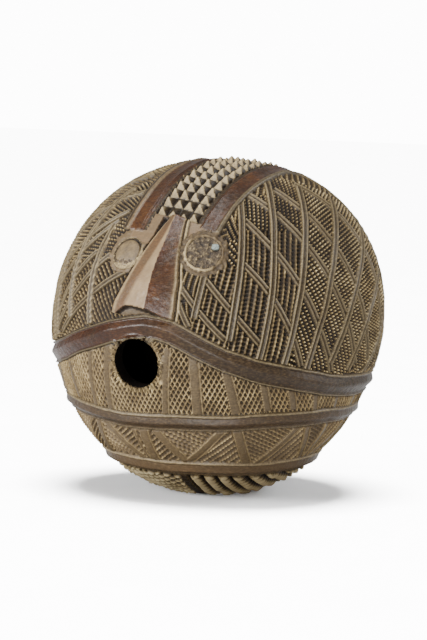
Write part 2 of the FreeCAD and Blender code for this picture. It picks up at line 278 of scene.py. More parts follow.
class Bars:
    """A family of bars: arcs of circles on the ball, each through three places."""

    def __init__(self, arcs):
        self.axis, self.start, self.turn, self.tilt, self.length = [], [], [], [], []
        for places in arcs:
            first, middle, last = (unit(*place) for place in places)
            axis = np.cross(middle - first, last - first)
            axis /= np.linalg.norm(axis)
            start = first - axis * (first @ axis)
            start /= np.linalg.norm(start)
            turn = np.cross(axis, start)
            tilt = math.asin(first @ axis)
            self.axis.append(axis)
            self.start.append(start)
            self.turn.append(turn)
            self.tilt.append(tilt)
            self.length.append(math.atan2(last @ turn, last @ start) * HALF_WIDTH * math.cos(tilt))
        self.side = np.array([np.sign(face_frame(unit(*places[0])[None])[0][0]) for places in arcs])
        self.axis, self.start, self.turn = (np.array(x).T for x in (self.axis, self.start, self.turn))
        self.tilt, self.length = np.array(self.tilt), np.array(self.length)

    def measure(self, way):
        """Distances across (to the right) and along each bar, for each direction."""
        across = (self.tilt - np.arcsin(np.clip(way @ self.axis, -1.0, 1.0))) * HALF_WIDTH
        along = np.arctan2(way @ self.turn, way @ self.start) * HALF_WIDTH * np.cos(self.tilt)
        return across, along

    def last_passed(self, across, along):
        """For each direction: the bar last passed from the left, and the distances from it."""
        near = (along > -5.0) & (along < self.length + 5.0) & (across >= 0.0)
        reach = np.where(near, across, 1e6)
        which = reach.argmin(axis=1)
        rows = np.arange(len(which))
        return which, across[rows, which], along[rows, which]

    def nearest(self, across, along, reach, side=None):
        """For each direction within reach of a bar: the distance across it, and which bar."""
        inside = (along > -0.4) & (along < self.length + 0.4) & (np.abs(across) < reach)
        if side is not None:
            inside &= self.side == np.sign(side)[:, None]
        off = np.where(inside, np.abs(across), 1e6)
        which = off.argmin(axis=1)
        rows = np.arange(len(which))
        return inside.any(axis=1), across[rows, which], which


def great(first, last):
    """Three places on the great circle between two."""
    middle = unit(*first) + unit(*last)
    middle /= np.linalg.norm(middle)
    longitude = math.degrees(math.atan2(middle[0], -middle[1]))
    return first, (longitude, math.degrees(math.asin(middle[2]))), last


def back_arcs(bars):
    """The arcs of the bars of the back, long enough to run under the bands beside the crest."""
    return tuple(great((lon, BACK_FOOT), onward(lon, BACK_FOOT, head, arc + BACK_REACH))
                 for lon, head, arc in bars)


def strip_arcs(strips):
    """The arcs of straight strips."""
    return tuple(great(foot, top) for foot, top, _ in strips)


def mouth_strips():
    """Every strip between the gable and the upper round band."""
    return MOUTH_STRIPS + tuple(((lon, -26.5), (lon, -20.5), 1.0) for lon in MOUTH_STRIPS_BEHIND)


def lower_strips():
    """Every strip between the two round bands."""
    behind = product(LOWER_STRIPS_BEHIND, (-LOWER_STRIP_SPREAD, LOWER_STRIP_SPREAD))
    return LOWER_STRIPS + tuple(((lon + side, -47), (lon, -31.5), 1.1) for lon, side in behind)


UPRIGHTS = Bars(FRONT_UPRIGHTS + back_arcs(BACK_UPRIGHTS))
SLANTS = Bars(FRONT_SLANTS + back_arcs(BACK_SLANTS))
ZONE_STRIPS = Bars(strip_arcs(mouth_strips()))
ZONE_WIDTHS = np.array([strip[2] for strip in mouth_strips()])
LOW_STRIPS = Bars(strip_arcs(lower_strips()))
LOW_WIDTHS = np.array([strip[2] for strip in lower_strips()])


class Relief:
    """Height, wear and painted light and shade of the carved surface at many directions."""

    def __init__(self, way):
        self.height = np.full(len(way), GROUND)
        self.wear_and_painted_light = {name: np.zeros(len(way)) for name in WEAR_AND_PAINTED_LIGHT}

    def lay(self, where, height, **wear_and_painted_light):
        """Lays a feature over what is there, where it is."""
        self.height = np.where(where, height, self.height)
        for name in WEAR_AND_PAINTED_LIGHT:
            self.wear_and_painted_light[name] = np.where(where, wear_and_painted_light.get(name, 0.0), self.wear_and_painted_light[name])


def ridged(across, along, pitch, beads):
    """Continuous ridges with rungs between them, which leaves rows of pits."""
    ridge = wave(across, pitch)
    rung = wave(along + 0.25 * beads * np.sin(across), beads)
    return GROUND + RIDGE_RISE * np.maximum(ridge * (0.8 + 0.2 * rung), 0.55 * rung)


def beaded(across, along, pitch):
    """A grid of small blunt beads."""
    return GROUND + BEAD_RISE * (wave(across, pitch) * wave(along, pitch)) ** 0.7


def studded(across, along, pitch, beads):
    """Ridges cut through into rows of beads."""
    return GROUND + STUD_RISE * wave(across, pitch) ** 0.8 * (0.3 + 0.7 * wave(along, beads))


def laddered(across, along, pitch, cuts):
    """Ridges that cross the bar like the rungs of a ladder, with faint cuts across them."""
    return GROUND + RIDGE_RISE * wave(along, pitch) ** 0.8 * (0.75 + 0.25 * wave(across, cuts))


def netted(x, y, pitch):
    """A net of thin raised lines at 60 degrees to the horizontal."""
    rise, run = math.sin(math.radians(60)), math.cos(math.radians(60))
    lines = np.maximum(wave(x * rise - y * run, pitch), wave(x * rise + y * run, pitch))
    return GROUND + RIDGE_RISE * lines ** 1.7


def upper_field(relief, way, lon, lat):
    """Lattice of bars over ridged and beaded cells, above the gable."""
    side = face_frame(way)[0]
    up_across, up_along = UPRIGHTS.measure(way)
    slant_across, slant_along = SLANTS.measure(way)
    cell, across, along = UPRIGHTS.last_passed(up_across, up_along)
    slant, off, run = SLANTS.last_passed(slant_across, slant_along)
    front = (lon > FRONT_FIELD[0]) & (lon < FRONT_FIELD[1])
    fills = (ridged(across, along, *RIDGE_PITCHES), beaded(across, along, BEAD_PITCH),
             studded(off, run, *STUD_PITCHES), laddered(off, run, *LADDER_PITCHES))
    ridges, beads, studs, ladders = range(len(fills))
    kind = (hashed(cell, slant, 11) * 3).astype(int)
    beside_nose = np.where(lat > 38, beads, ridges)
    kind = np.where(front, np.where((cell >= 1) & (cell <= 2), beside_nose, studs), kind)
    kind = np.where(front & ((cell == 0) | (lon < 30)), ridges, kind)
    kind = np.where(front & (lon < 0), np.where(lat < 24, ladders, beads), kind)
    relief.height = np.choose(kind, fills)
    for bars, measured, table, reach in (
            (SLANTS, (slant_across, slant_along), SLANT_SECTION, 1.4),
            (UPRIGHTS, (up_across, up_along), UPRIGHT_SECTION, 1.45)):
        there, off_bar, _ = bars.nearest(*measured, reach, side)
        lips = [distance for distance, height in table if height > -0.15]
        on_lip = sum(np.exp(-((off_bar - lip) / 0.22) ** 2) for lip in lips)
        relief.lay(there, section(off_bar, table), flat=0.85 * (np.abs(off_bar) < 1.2),
                   tone=-0.35 * (1.0 - np.clip(on_lip, 0.0, 1.0)), edge=0.35 * np.clip(on_lip, 0.0, 1.0))


def strip_zone(relief, way, bars, widths, where, fill, dust):
    """Upright strips over a fill, between two bands."""
    across, along = bars.measure(way)
    relief.lay(where, fill, tone=dust)
    there, off, which = bars.nearest(across, along, 3.0)
    half = 0.85 * widths[which]
    beyond = np.abs(off) - half
    line = (off > 0) & (half > 0.6)
    fall = np.where(line, section(beyond, LINED_FALL), section(beyond, PLAIN_FALL))
    height = np.where(beyond < 0, STRIP_TOP - 0.12 * off / half, fall)
    over = where & there & (beyond < np.where(line, 1.3, 0.45))
    height = np.where(beyond > 1.0, np.maximum(height, relief.height), height)
    relief.lay(over, height, flat=np.where(beyond < 0.1, 0.9, 0.4), tone=dust)


def underside(relief, way, lon, where):
    """Rope-like ribs in four sectors, each with a flat strip along its start, painted darker as shade and
    darker still in the hatch grooves.
    """
    x, y = way[:, 0] * HALF_WIDTH, way[:, 1] * HALF_WIDTH
    turned = (lon - SECTORS[0]) % 360.0
    sector = np.minimum((turned // 90).astype(int), 3)
    for index, (start, pitch, turn) in enumerate(zip(SECTORS, RIB_PITCHES, RIB_TURNS)):
        angle = math.radians(start)
        strip_off = x * math.cos(angle) + y * math.sin(angle)
        angle += math.radians(turn)
        off = x * math.cos(angle) + y * math.sin(angle) - SECTOR_STRIP - 0.6
        run = x * math.sin(angle) - y * math.cos(angle)
        rib = 1.0 - (2.0 * np.abs(off / pitch % 1.0 - 0.5)) ** 2.4
        hatch = wave(run + 0.9 * off, ROPE_PITCH)
        height = -2.2 + 2.2 * rib + 1.2 * (hatch - 0.6) * rib
        here = where & (sector == index)
        # Painted shade: the whole underside is darkened, most in the grooves of the hatch between the ribs'
        # strands.
        relief.lay(here, height, tone=-0.5 - 0.4 * (1.0 - hatch) * rib)
        strip = here & (np.abs(strip_off) < SECTOR_STRIP)
        relief.lay(strip, -0.35, flat=1.0)
        follows = where & (sector == (index - 1) % 4) & (np.abs(strip_off) < SECTOR_STRIP)
        relief.lay(follows & (x * math.sin(angle) - y * math.cos(angle) > 0), -0.35, flat=1.0)


def band(relief, lon, lat, line, table, polish, dust):
    """A band round the ball with a low ridge along its middle and a thin lip at each edge."""
    middle = round_the_ball(lon, line)
    slope = round_the_ball(lon + 0.5, line) - round_the_ball(lon - 0.5, line)
    lean = np.hypot(1.0, slope / np.cos(np.radians(lat)))
    off = np.radians(lat - middle) * HALF_WIDTH / lean
    edge = table[-3][0]
    height = section(off, table)
    relief.lay(np.abs(off) < table[-1][0] - 0.3, height, flat=1.0,
               polish=polish * (np.abs(off) < edge - 0.6), tone=dust,
               edge=0.5 * np.exp(-((np.abs(off) - edge + 0.1) / 0.25) ** 2))


def crest(relief, across, angle, where):
    """Rows of four pyramids from the nose's root over the top and down the back, each with its front facet
    painted light and its other facets painted dark.
    """
    pitch = (CREST_SPAN[1] - CREST_SPAN[0]) / STUD_COLUMNS
    columns = (across - CREST_SPAN[0]) / pitch
    rows = (angle - CREST_START) / CREST_ROW
    column, row = np.floor(columns).astype(int), np.floor(rows).astype(int)
    a = columns - column - 0.5
    b = rows - row - 0.5
    tip_a = 0.12 * (hashed(row, column, 21) - 0.5)
    tip_b = 0.12 * (hashed(row, column, 22) - 0.5) - 0.04
    climb = np.maximum.reduce((
        (a - tip_a) / (STUD_HALF - tip_a), (tip_a - a) / (STUD_HALF + tip_a),
        (b - tip_b) / (STUD_HALF - tip_b), (tip_b - b) / (STUD_HALF + tip_b)))
    height = STUD_HEIGHT * (0.85 + 0.3 * hashed(row, column, 23))
    broken = (row == 0) & np.isin(column, BROKEN_STUDS)
    height = np.where(broken, 0.62 * height, height)
    top = STUD_VALLEY + height * np.clip(1.0 - climb, 0.0, 0.9)
    # Painted light and shade: each stud's front facet is painted lighter as its lit side, and its other
    # facets darker as shaded sides.
    lit_front_facet = ((tip_b - b) / (STUD_HALF + tip_b) > climb - 0.04) & (climb < 0.93)
    here = where & (across > CREST_SPAN[0]) & (across < CREST_SPAN[1]) & (angle > CREST_START)
    relief.lay(here, top, flat=0.6, edge=0.7 * lit_front_facet, tone=np.where(lit_front_facet, 0.1, -0.45))


def brows(relief, across, angle, where):
    """The polished bands beside the crest."""
    for table, start, polished in zip((LEFT_BROW, RIGHT_BROW), BROW_STARTS, BROW_POLISH):
        low, high = table[0][0], table[-1][0]
        here = where & (across > low + 0.3) & (across < high - 0.3) & (angle > start)
        inside = (across > polished[0]) & (across < polished[1])
        lips = [x for x, height in table if height > -0.2]
        edge = 0.35 * sum(np.exp(-((across - lip) / 0.3) ** 2) for lip in lips)
        relief.lay(here, section(across, table), flat=1.0, polish=0.7 * inside,
                   tone=np.where(inside, -0.12, -0.3), edge=np.clip(edge, 0.0, 1.0))


def nose(relief, way, beta, angle):
    """A long three-sided nose with a worn arris and a chipped tip, a painted highlight down its left face and
    a painted shadow under its tip.
    """
    left, right, arris = (section(angle, table) for table in (NOSE_LEFT, NOSE_RIGHT, NOSE_ARRIS))
    chips = 0.9 * lumpy(way * HALF_WIDTH, 2.2, 31) + 0.4 * lumpy(way * HALF_WIDTH, 0.9, 32)
    tip = section(beta, TIP_LINE) + 0.2 * chips
    ridge, flank = section(angle, NOSE_HEIGHT), section(angle, NOSE_FLANK)
    on_left = beta < arris
    share = np.where(on_left, (arris - beta) / (arris - left), (beta - arris) / (right - arris))
    height = ridge + (flank - ridge) * share ** 0.85
    under = tip - angle
    below = np.maximum(height - 5.0 * under, -0.2 + 0.1 * (angle - NOSE_TIP))
    height = np.where(under > 0, below, height)
    inside = (beta > left) & (beta < right) & (angle > NOSE_FOOT) & (angle < CREST_START + 0.4)
    reach = 0.1 + 0.5 * np.clip((CREST_START - angle) / 30.0, 0.0, 1.0)
    # Painted highlight: a pale strip down the left face beside the arris, less polished there.
    pale = np.clip((reach - share) / 0.14 + 0.5, 0.0, 1.0) * (0.75 + 0.25 * np.clip(chips, -1.0, 1.0))
    tone = np.where(on_left, 0.22 + 0.8 * pale, 0.24 * share - 0.15)
    polish = np.where(on_left, 0.7 - 0.6 * pale, 0.95 - 0.5 * share)
    # Painted shadow: a dark band just under the edge of the tip.
    shade = np.where(under < 1.1, -0.8, 0.2)
    relief.lay(inside, height, flat=1.0, tone=np.where(under > 0, shade, tone),
               polish=polish * (under < 0), edge=0.55 * np.exp(-((share - 0.93) / 0.05) ** 2) * (under < 0))


def nose_edges(relief, beta, angle):
    """The undercut along the nose's left edge, painted dark as its shade, and the double lip along its right
    one.
    """
    left, right = section(angle, NOSE_LEFT), section(angle, NOSE_RIGHT)
    off = (left - beta) * HALF_WIDTH * math.radians(1.0)
    width = section(angle, UNDERCUT_WIDTHS)
    groove = (off > 0) & (off < width) & (angle > NOSE_FOOT + 0.4) & (angle < 43.0)
    # Painted shade: the groove stands for an undercut and is painted almost black.
    relief.lay(groove, UNDERCUT + 0.5 * off / width, flat=0.3, tone=-1.0)
    off = (beta - right) * HALF_WIDTH * math.radians(1.0)
    lip = (off > 0) & (off < 1.9) & (angle > NOSE_FOOT + 2.0) & (angle < CREST_START)
    relief.lay(lip, section(off, ((0.0, -0.9), (0.5, -1.2), (1.0, -0.3), (1.5, -0.4), (1.9, -1.5))),
               flat=0.7, edge=0.7 * (np.abs(off - 1.2) < 0.4))


def root_ledges(relief, beta, angle):
    """Plain ledges each side of the nose's root, under the crest and the brow bands."""
    left, right = section(angle, NOSE_LEFT), section(angle, NOSE_RIGHT)
    groove = math.degrees(UNDERCUT_WIDTHS[0][1] / HALF_WIDTH)
    outer = np.where(angle > BROW_STARTS[0] + 0.5, LEDGE_UNDER_BROW, LEDGE_REACH[0])
    on_left = (beta > outer) & (beta < left - groove) & (angle > LEDGE_STARTS[0])
    on_right = (beta > right) & (beta < LEDGE_REACH[1]) & (angle > LEDGE_STARTS[1])
    here = (on_left | on_right) & (angle < CREST_START) & (relief.wear_and_painted_light["polish"] < 0.5)
    relief.lay(here, -1.05 - 0.02 * (CREST_START - angle), flat=0.9, tone=0.42, polish=0.3)


def from_ray(way, place):
    """Distance of points of the skin from the ray through a place."""
    along = way @ unit(*place)
    return np.where(along > 0, 59.0 * np.sqrt(np.clip(1.0 - along ** 2, 0.0, 1.0)), 999.0)


def eye_grounds(relief, way, lon, lat):
    """Smooth ledge round the left eye, rough rim round the right one."""
    rough = lumpy(way * HALF_WIDTH, 1.0, 41)
    ray = from_ray(way, LEFT_EYE)
    above = lat > LEFT_EYE[1] - 3.0 - 0.9 * (lon - LEFT_EYE[0])
    ledge = (ray < np.where(above, 9.4, 7.6) + 0.4 * rough) & (relief.height > UNDERCUT + 0.6)
    ledge &= relief.wear_and_painted_light["polish"] < 0.2
    relief.lay(ledge, -0.95 + 0.2 * rough - 0.25 * (ray > 8.4), flat=0.6, tone=0.32)
    ray = from_ray(way, RIGHT_EYE)
    outer = (ray < 8.7 + 0.5 * rough) & (relief.wear_and_painted_light["polish"] < 0.9)
    relief.lay(outer, -1.1 + 0.4 * rough, flat=0.3, tone=0.1)
    rim = ray < 7.0 + 0.25 * rough
    lower_left = np.clip((RIGHT_EYE[0] - lon + RIGHT_EYE[1] - lat) / 9.0, 0.0, 1.0)
    relief.lay(rim, -0.75 + 0.4 * lower_left + 0.3 * rough, flat=0.5, tone=0.15, edge=0.75 * lower_left)


def sockets(radius, way):
    """Cuts the two eye sockets to their floor."""
    for place in (LEFT_EYE, RIGHT_EYE):
        radius = np.where(from_ray(way, place) < SOCKET_RADIUS - 0.15, SOCKET_FLOOR, radius)
    return radius


def skin_radius(way):
    """The uncarved ball: slightly tall, with its slow swellings."""
    x, y, z = way.T
    swell = 0.0
    for place, height, spread in LUMPS:
        apart = np.degrees(np.arccos(np.clip(way @ unit(*place), -1, 1)))
        swell = swell + height * np.exp(-(apart / spread) ** 2 / 2)
    return 1.0 / np.sqrt((x ** 2 + y ** 2) / HALF_WIDTH ** 2 + z ** 2 / HALF_HEIGHT ** 2) + swell


def cut_fields(relief, way, lon, lat, limits):
    """The fields between the bands and the underside, with their bars and strips."""
    gable, upper, lower = limits
    upper_field(relief, way, lon, lat)
    x = np.radians(lon) * HALF_WIDTH * np.cos(np.radians(lat))
    y = np.radians(lat) * HALF_WIDTH
    mouth_zone = (lat <= gable) & (lat > upper)
    strip_zone(relief, way, ZONE_STRIPS, ZONE_WIDTHS, mouth_zone, netted(x, y, NET_PITCH), ZONE_DUST[0])
    passed = LOW_STRIPS.last_passed(*LOW_STRIPS.measure(way))[0]
    tilt = np.radians(np.where(passed % 2 == 0, *HATCH_TURNS))
    hatch = ridged(x * np.sin(tilt) + y * np.cos(tilt), x * np.cos(tilt) - y * np.sin(tilt), *HATCH_PITCHES)
    low_zone = (lat <= upper) & (lat > lower)
    strip_zone(relief, way, LOW_STRIPS, LOW_WIDTHS, low_zone, hatch, ZONE_DUST[1])
    underside(relief, way, lon, lat <= lower)


def cut_bands(relief, way, lon, lat):
    """The three bands round the ball, and the rim of the mouth hole over them."""
    reddish = np.clip((20.0 - lon) / 30.0, 0.1, 1.0) * (np.abs(lon) < 75)
    band(relief, lon, lat, GABLE, GABLE_SECTION, reddish, -0.5 * reddish)
    band(relief, lon, lat, UPPER_ROUND, UPPER_SECTION, 0.12, 0.05)
    band(relief, lon, lat, LOWER_ROUND, LOWER_SECTION, 0.15, 0.2)
    ray = from_ray(way, MOUTH)
    rim = 0.35 * np.clip(1.0 - (ray - MOUTH_RADIUS - 0.05) / 0.35, 0.0, 1.0)
    relief.wear_and_painted_light["edge"] = np.maximum(relief.wear_and_painted_light["edge"], rim)
    relief.height = np.where(ray < MOUTH_RADIUS + 0.5, np.maximum(relief.height, -0.9), relief.height)


def carve(way):
    """Positions, wear and painted light and shade of the outer surface for many unit directions."""
    points = way * HALF_WIDTH
    drift = np.stack([lumpy(points, 13.0, seed) for seed in (1, 2, 3)], axis=1)
    bent = way + HAND_DRIFT * drift
    bent /= np.linalg.norm(bent, axis=1)[:, None]
    lon = np.degrees(np.arctan2(bent[:, 0], -bent[:, 1]))
    lat = np.degrees(np.arcsin(bent[:, 2]))
    relief = Relief(bent)
    across, beta, angle = face_frame(bent)
    limits = [round_the_ball(lon, line) for line in (GABLE, UPPER_ROUND, LOWER_ROUND)]
    above = lat > limits[0]
    cut_fields(relief, bent, lon, lat, limits)
    cuts = np.where(relief.wear_and_painted_light["flat"] > 0.2, 1.0, 1.0 + 0.22 * lumpy(points, 4.0, 5))
    relief.height = GROUND + (relief.height - GROUND) * cuts
    crest(relief, across, angle, above)
    brows(relief, across, angle, above)
    root_ledges(relief, beta, angle)
    nose(relief, way, beta, angle)
    nose_edges(relief, beta, angle)
    eye_grounds(relief, way, lon, lat)
    cut_bands(relief, way, lon, lat)
    chipped = 0.07 * lumpy(points, 1.1, 6) + 0.12 * lumpy(points, 5.0, 7)
    radius = sockets(skin_radius(way) + relief.height + chipped, way)
    position = way * radius[:, None]
    position[:, 2] = np.maximum(position[:, 2], -CENTRE_HEIGHT)
    lift = np.clip((relief.height - GROUND) / -GROUND, 0.0, 1.3)
    return position, {"lift": lift, **relief.wear_and_painted_light}


# Meshes: quads along a tile's side, outside and inside, and each tile's right and up.
FINE = 288
COARSE = {"shell_face": 72}
COARSE_ELSEWHERE = 36
TILES = {
    "shell_face": ((1, 0, 0), (0, 0, 1)), "shell_right": ((0, 1, 0), (0, 0, 1)),
    "shell_back": ((-1, 0, 0), (0, 0, 1)), "shell_left": ((0, -1, 0), (0, 0, 1)),
    "shell_crown": ((1, 0, 0), (0, 1, 0)), "shell_base": ((1, 0, 0), (0, -1, 0)),
}
NORMAL_STEP = 0.33


def side_and_up(ray):
    """Level side and upward directions square to a ray."""
    side = np.cross((0.0, 0.0, 1.0), ray)
    side /= np.linalg.norm(side)
    return side, np.cross(ray, side)


def tile_ways(name, count):
    """Unit directions of a square grid over one sixth of the ball."""
    right, up = (np.array(axis, float) for axis in TILES[name])
    out = np.cross(right, up)
    tangents = np.tan(np.radians(np.linspace(-45.0, 45.0, count + 1)))
    tangents[0], tangents[-1] = -1.0, 1.0
    a, b = np.meshgrid(tangents, tangents, indexing="ij")
    way = out + a[..., None] * right + b[..., None] * up
    return (way / np.linalg.norm(way, axis=2)[..., None]).reshape(-1, 3)


def grid_faces(count, flip=False):
    """Quads of a square grid of (count + 1) ** 2 points."""
    corner = np.arange(count)[:, None] * (count + 1) + np.arange(count)
    quads = np.stack((corner, corner + count + 1, corner + count + 2, corner + 1), axis=2).reshape(-1, 4)
    return quads[:, ::-1] if flip else quads


def rim_of_grid(count):
    """Indices of a grid's border, anticlockwise from its first corner."""
    side = count + 1
    first = [i * side for i in range(count)]
    second = [count * side + j for j in range(count)]
    third = [i * side + count for i in range(count, 0, -1)]
    fourth = list(range(count, 0, -1))
    return first + second + third + fourth


def zip_loops(outer, inner, ratio):
    """Triangles between a fine border and a coarse one that have the same corners."""
    faces = []
    total = len(outer)
    for segment, start in enumerate(range(0, total, ratio)):
        here, following = inner[segment], inner[(segment + 1) % len(inner)]
        half = ratio // 2
        for step in range(ratio):
            if step == half:
                faces.append((outer[start + step], here, following))
            a, b = outer[start + step], outer[(start + step + 1) % total]
            faces.append((a, here if step < half else following, b))
    return faces


def turn_about(ray, point):
    """Angle of a point about a ray."""
    side, up = side_and_up(ray)
    return math.atan2(point @ up, -(point @ side))


def open_loop(faces, points, ray):
    """Border points of the hole in a grid, in order round a ray."""
    edges = {}
    for face in faces:
        for a, b in zip(face, np.roll(face, -1)):
            key = (min(a, b), max(a, b))
            edges[key] = edges.get(key, 0) + 1
    close = {v for key, uses in edges.items() if uses == 1 for v in key
             if np.linalg.norm(points[v] - ray * (points[v] @ ray)) < MOUTH_RADIUS + 3.0}
    return sorted(close, key=lambda v: turn_about(ray, points[v]))


def cut_hole(faces, points, ray, near):
    """Takes out a grid's faces inside the mouth and moves the border onto its true circle."""
    off = np.linalg.norm(points - np.outer(points @ ray, ray), axis=1)
    inside = (off < MOUTH_RADIUS) & (points @ ray > 0)
    kept = faces[~inside[faces].any(axis=1)]
    loop = open_loop(kept[(off[kept] < MOUTH_RADIUS + near).any(axis=1) & (points[kept[:, 0]] @ ray > 0)],
                     points, ray)
    for index in loop:
        along = ray * (points[index] @ ray)
        across = points[index] - along
        points[index] = along + across * (MOUTH_RADIUS / np.linalg.norm(across))
    return kept, loop


def bore(outer_loop, inner_loop, points, ray):
    """Wall of the mouth hole: rings down from the outer border, then zipped to the inner one."""
    rings = 5
    floor = math.sqrt(CAVITY ** 2 - MOUTH_RADIUS ** 2)
    added, faces = [], []
    ring = list(outer_loop)
    for step in range(1, rings):
        new = []
        for index in outer_loop:
            high = points[index] @ ray
            level = high + (floor - high) * step / rings
            across = points[index] - ray * high
            new.append(len(points) + len(added))
            added.append(across + ray * level)
        for k in range(len(ring)):
            n = (k + 1) % len(ring)
            faces.append((ring[k], ring[n], new[n], new[k]))
        ring = new
    everything = np.vstack((points, added))
    a = b = 0
    count_a, count_b = len(ring), len(inner_loop)
    while a < count_a or b < count_b:
        next_a = turn_about(ray, everything[ring[a % count_a]]) + 2 * math.pi * (a // count_a)
        next_b = turn_about(ray, everything[inner_loop[b % count_b]]) + 2 * math.pi * (b // count_b)
        if b == count_b or (a < count_a and next_a <= next_b):
            faces.append((ring[a % count_a], ring[(a + 1) % count_a], inner_loop[b % count_b]))
            a += 1
        else:
            faces.append((ring[a % count_a], inner_loop[(b + 1) % count_b], inner_loop[b % count_b]))
            b += 1
    return everything, faces


def border_normals(way):
    """Normals from small steps east and north, the same for both tiles that share a border."""
    east = np.cross((0.0, 0.0, 1.0), way)
    east /= np.maximum(np.linalg.norm(east, axis=1), 1e-9)[:, None]
    north = np.cross(way, east)
    shifts = []
    for direction in (east, north):
        ends = []
        for sign in (1.0, -1.0):
            moved = way + direction * (sign * NORMAL_STEP / HALF_WIDTH)
            ends.append(carve(moved / np.linalg.norm(moved, axis=1)[:, None])[0])
        shifts.append(ends[0] - ends[1])
    normal = np.cross(shifts[0], shifts[1])
    return normal / np.linalg.norm(normal, axis=1)[:, None]


def mesh_object(name, points, faces, materials, inner_from=None):
    """A smooth mesh object, in metres, from points about the ball's centre in millimetres."""
    mesh = bpy.data.meshes.new(name)
    placed = np.array(points) * MM
    placed[:, 2] += CENTRE_HEIGHT * MM
    mesh.from_pydata(placed.tolist(), [], [list(map(int, face)) for face in faces])
    mesh.polygons.foreach_set("use_smooth", np.ones(len(faces), bool))
    for material in materials:
        mesh.materials.append(material)
    if inner_from is not None:
        slots = np.zeros(len(faces), np.int32)
        slots[inner_from:] = 1
        mesh.polygons.foreach_set("material_index", slots)
    mesh.validate()
    mesh.update()
    thing = bpy.data.objects.new(name, mesh)
    bpy.context.scene.collection.objects.link(thing)
    return thing


def shell_tile(name, materials):
    """One sixth of the shell: carved outside, plain inside, and closed at its borders."""
    coarse = COARSE.get(name, COARSE_ELSEWHERE)
    way = tile_ways(name, FINE)
    outer, wear_and_painted_light = carve(way)
    inner = tile_ways(name, coarse) * CAVITY
    outer_faces = grid_faces(FINE)
    inner_faces = grid_faces(coarse, flip=True)
    extra = []
    if name == "shell_face":
        ray = unit(*MOUTH)
        outer_faces, outer_loop = cut_hole(outer_faces, outer, ray, 2.0)
        inner_faces, inner_loop = cut_hole(inner_faces, inner, ray, 6.0)
        points = np.vstack((outer, inner))
        points, extra = bore(outer_loop, [len(outer) + v for v in inner_loop], points, ray)
    else:
        points = np.vstack((outer, inner))
    rim = rim_of_grid(FINE)
    inner_rim = [len(outer) + v for v in rim_of_grid(coarse)]
    border = zip_loops(rim, inner_rim, FINE // coarse)
    faces = list(outer_faces) + list(inner_faces + len(outer)) + border + extra
    tile = mesh_object(name, points, faces, materials, len(outer_faces))
    mesh = tile.data
    for layer, values in wear_and_painted_light.items():
        padded = np.zeros(len(mesh.vertices), np.float32)
        padded[:len(values)] = values
        mesh.attributes.new(layer, "FLOAT", "POINT").data.foreach_set("value", padded)
    normals = np.zeros((len(mesh.vertices), 3))
    normals[rim] = border_normals(way[rim])
    loops = np.zeros(len(mesh.loops), np.int32)
    mesh.loops.foreach_get("vertex_index", loops)
    chosen = normals[loops]
    starts = mesh.polygons[len(outer_faces)].loop_start
    chosen[starts:] = 0.0
    mesh.normals_split_custom_set(chosen.tolist())
    return tile


# Materials.
def colour(code):
    """Linear colour of an sRGB hex code."""
    values = [int(code[i:i + 2], 16) / 255.0 for i in (1, 3, 5)]
    return tuple(v / 12.92 if v < 0.04045 else ((v + 0.055) / 1.055) ** 2.4 for v in values) + (1.0,)


class Nodes:
    """Small helper that builds a Principled material node by node."""

    def __init__(self, name):
        self.material = bpy.data.materials.new(name)
        self.material.use_nodes = True
        self.tree = self.material.node_tree
        self.shader = self.tree.nodes["Principled BSDF"]
        self.place = self.add("ShaderNodeTexCoord").outputs["Object"]

    def add(self, kind, **settings):
        node = self.tree.nodes.new(kind)
        for key, value in settings.items():
            setattr(node, key, value)
        return node

    def join(self, source, target):
        if hasattr(source, "links"):
            self.tree.links.new(source, target)
        else:
            target.default_value = source

    def attribute(self, name):
        return self.add("ShaderNodeAttribute", attribute_name=name).outputs["Fac"]

    def noise(self, size, detail=3.0, rough=0.6, stretch=(1.0, 1.0, 1.0)):
        """Noise with lumps of a size in millimetres, from 0 to 1."""
        mapping = self.add("ShaderNodeMapping")
        mapping.inputs["Scale"].default_value = stretch
        node = self.add("ShaderNodeTexNoise")
        node.inputs["Scale"].default_value = 1.0 / (size * MM)
        node.inputs["Detail"].default_value = detail
        node.inputs["Roughness"].default_value = rough
        self.join(self.place, mapping.inputs["Vector"])
        self.join(mapping.outputs["Vector"], node.inputs["Vector"])
        return node.outputs["Fac"]

    def math(self, operation, first, second, clamp=False):
        node = self.add("ShaderNodeMath", operation=operation, use_clamp=clamp)
        self.join(first, node.inputs[0])
        self.join(second, node.inputs[1])
        return node.outputs[0]

    def ramp(self, value, stops):
        node = self.add("ShaderNodeValToRGB")
        elements = node.color_ramp.elements
        while len(elements) < len(stops):
            elements.new(0.5)
        for element, (position, code) in zip(elements, stops):
            element.position = position
            element.color = colour(code) if isinstance(code, str) else (code, code, code, 1.0)
        self.join(value, node.inputs["Fac"])
        return node.outputs["Color"]

    def mix(self, share, first, second, blend="MIX"):
        node = self.add("ShaderNodeMix", data_type="RGBA", blend_type=blend)
        self.join(share, node.inputs[0])
        for value, socket in ((first, node.inputs[6]), (second, node.inputs[7])):
            self.join(colour(value) if isinstance(value, str) else value, socket)
        return node.outputs[2]

    def bump(self, height, strength, distance):
        node = self.add("ShaderNodeBump")
        node.inputs["Strength"].default_value = strength
        node.inputs["Distance"].default_value = distance * MM
        self.join(height, node.inputs["Height"])
        self.join(node.outputs["Normal"], self.shader.inputs["Normal"])

    def finish(self, base, roughness):
        self.join(base, self.shader.inputs["Base Color"])
        self.join(roughness, self.shader.inputs["Roughness"])
        return self.material


